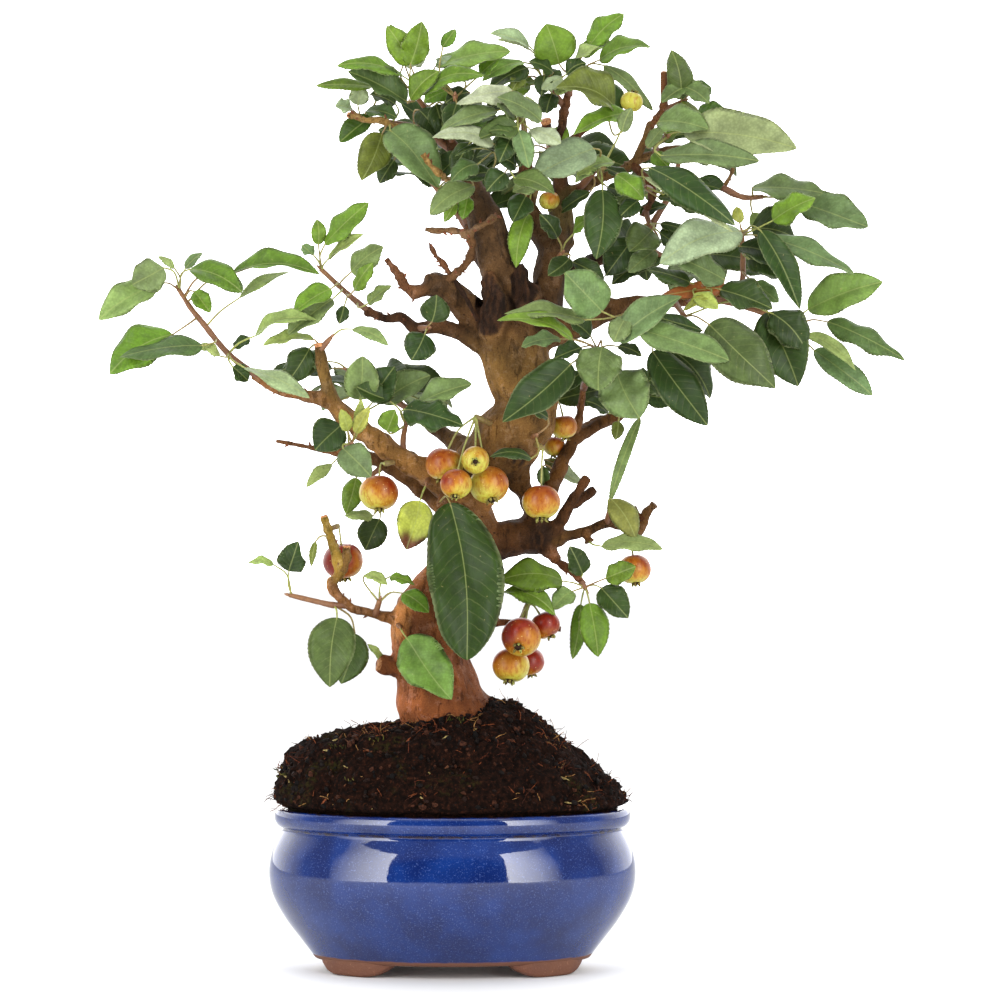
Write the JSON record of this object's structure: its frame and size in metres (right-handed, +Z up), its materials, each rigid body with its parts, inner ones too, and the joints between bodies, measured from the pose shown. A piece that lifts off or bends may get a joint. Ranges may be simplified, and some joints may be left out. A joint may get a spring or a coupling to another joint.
{
  "type": "crabapple bonsai",
  "caption": "Fruiting crabapple bonsai with a bent trunk, leafy shoots and stalked fruit, rooted in a mound of soil in an oval glazed pot on short feet.",
  "frame": {"origin": "on the ground, under the middle of the whole tree's bounding box; the pot's middle is at x -0.0285, y -0.0172", "axes": "+Z up, +X to the right seen from the front, -Y towards the front"},
  "size_m": [0.479, 0.2114, 0.574],
  "materials": {
    "glaze": "gloss",
    "screen": "matte",
    "soil": "matte",
    "bark": "matte",
    "leaf": "satin",
    "fruit": "satin"
  },
  "bodies": {
    "root": {"pot": "glaze", "drain_mesh_left": "screen", "drain_mesh_right": "screen", "soil": "soil", "trunk": "bark", "fruit_trunk_front": "fruit", "fruit_hanging": "fruit", "fruit_behind": "fruit", "fruit_left": "fruit", "fruit_stub": "fruit", "fruit_right": "fruit", "fruit_low": "fruit", "fruit_upright": "fruit", "fruit_inner": "fruit", "shoot_crown_left": "leaf", "shoot_crown_left_top": "leaf", "shoot_crown_middle_left": "leaf", "shoot_crown_middle": "leaf", "shoot_crown_top_left": "leaf", "shoot_crown_top": "leaf", "shoot_crown_right": "leaf", "shoot_crown_inner": "leaf", "shoot_between": "leaf", "shoot_leader": "leaf", "shoot_upper_right_top": "leaf", "shoot_upper_right": "leaf", "shoot_upper_right_low": "leaf", "shoot_right_inner": "leaf", "shoot_far_right": "leaf", "shoot_far_right_top": "leaf", "shoot_far_right_low": "leaf", "shoot_right_middle": "leaf", "shoot_right_near": "leaf", "shoot_right_low": "leaf", "shoot_fork_right": "leaf", "shoot_middle_right": "leaf", "shoot_trunk": "leaf", "shoot_far_left": "leaf", "shoot_left_middle": "leaf", "shoot_stub": "leaf", "shoot_left_pair": "leaf", "shoot_left_limb": "leaf", "shoot_left_inner": "leaf", "shoot_left_front": "leaf", "shoot_left_hang": "leaf", "shoot_yellow_leaf": "leaf", "shoot_front_leaf": "leaf", "shoot_trunk_low": "leaf", "shoot_low_left": "leaf", "shoot_low_inner": "leaf", "shoot_junction": "leaf", "shoot_low_right": "leaf", "shoot_right_stub": "leaf", "back_shoot_top": "leaf", "back_shoot_left": "leaf", "back_shoot_middle": "leaf", "back_shoot_right": "leaf", "back_shoot_far_right": "leaf", "back_shoot_low_right": "leaf", "back_shoot_low_left": "leaf"}
  },
  "joints": []
}
